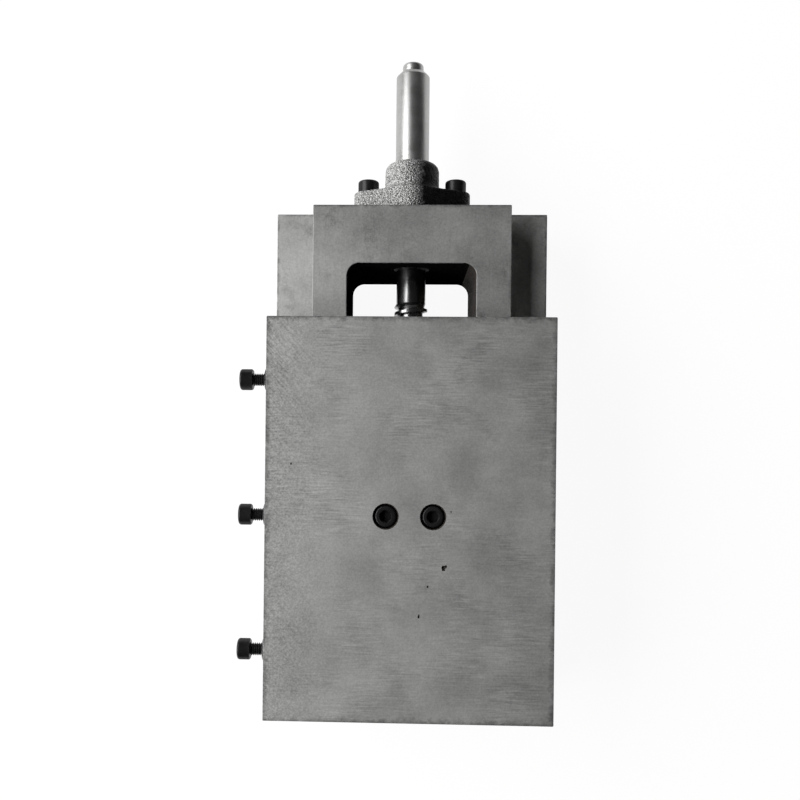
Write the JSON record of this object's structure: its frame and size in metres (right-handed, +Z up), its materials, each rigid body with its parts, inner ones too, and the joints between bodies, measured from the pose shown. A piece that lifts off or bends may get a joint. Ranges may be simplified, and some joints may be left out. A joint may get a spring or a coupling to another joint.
{
  "type": "dovetail slide table",
  "caption": "Hand-driven dovetail slide table: a flat table on a dovetail base with a through window, moved by a lead screw with a bare drive shaft.",
  "frame": {"origin": "foot of the drive-end wall: on the base's underside, under the screw line, in the middle of the wall's thickness", "axes": "+Z up through the table top, +Y out along the drive shaft, +X to the right seen from above with the shaft pointing away"},
  "size_m": [0.1455, 0.3085, 0.068],
  "materials": {
    "ground_cast_iron": "ground, with faint brushing",
    "rough_cast_iron": "rough as cast",
    "gib_steel": "ground",
    "bronze": "turned",
    "cage_brass": "pressed",
    "bearing_steel": "ground and polished",
    "bright_steel": "turned and polished",
    "grey_steel": "plain",
    "black_steel": "black oxide, satin"
  },
  "bodies": {
    "base": {"base_casting": "ground_cast_iron", "shaft_bracket": "rough_cast_iron", "bracket_bush": "bronze", "tail_bush": "bronze", "bracket_screw_left": "black_steel", "bracket_screw_right": "black_steel", "inner_housing_washer": "bearing_steel", "outer_housing_washer": "bearing_steel"},
    "screw": {"lead_screw": "bright_steel", "inner_shaft_washer": "bearing_steel", "outer_shaft_washer": "bearing_steel"},
    "inner_cage": {"inner_bearing_rollers": "bearing_steel", "inner_roller_cage": "cage_brass"},
    "outer_cage": {"outer_bearing_rollers": "bearing_steel", "outer_roller_cage": "cage_brass"},
    "slide": {"slide_table": "ground_cast_iron", "gib": "gib_steel", "lead_nut": "bronze", "nut_screw_left": "black_steel", "nut_screw_right": "black_steel", "gib_lock_nut_1": "grey_steel", "gib_lock_nut_2": "grey_steel", "gib_lock_nut_3": "grey_steel"},
    "gib_adjuster_1": {"gib_screw_1": "black_steel"},
    "gib_adjuster_2": {"gib_screw_2": "black_steel"},
    "gib_adjuster_3": {"gib_screw_3": "black_steel"}
  },
  "joints": [
    {"name": "slide_travel", "type": "slide", "parent": "base", "child": "slide", "axis": [0, 1, 0], "range_m": [-0.02, 0.07]},
    {"name": "screw_turn", "type": "hinge", "parent": "base", "child": "screw", "pos_m": [0, 0, 0.0355], "axis": [0, -1, 0], "range_deg": [-1801, 6301]},
    {"name": "inner_cage_turn", "type": "hinge", "parent": "base", "child": "inner_cage", "pos_m": [0, -0.004, 0.0355], "axis": [0, -1, 0], "range_deg": [-901, 3151]},
    {"name": "outer_cage_turn", "type": "hinge", "parent": "base", "child": "outer_cage", "pos_m": [0, 0.009, 0.0355], "axis": [0, -1, 0], "range_deg": [-901, 3151]},
    {"name": "gib_screw_1_turn", "type": "hinge", "parent": "slide", "child": "gib_adjuster_1", "pos_m": [-0.0734, -0.0675, 0.045], "axis": [1, 0, 0], "range_deg": [-360, 45]},
    {"name": "gib_screw_2_turn", "type": "hinge", "parent": "slide", "child": "gib_adjuster_2", "pos_m": [-0.0734, -0.1315, 0.045], "axis": [1, 0, 0], "range_deg": [-360, 45]},
    {"name": "gib_screw_3_turn", "type": "hinge", "parent": "slide", "child": "gib_adjuster_3", "pos_m": [-0.0734, -0.1955, 0.045], "axis": [1, 0, 0], "range_deg": [-360, 45]}
  ],
  "couplings": [
    {"joint": "screw_turn", "follows": "slide_travel", "rad_per_m": 1570.8},
    {"joint": "inner_cage_turn", "follows": "slide_travel", "rad_per_m": 785.4},
    {"joint": "outer_cage_turn", "follows": "slide_travel", "rad_per_m": 785.4}
  ]
}
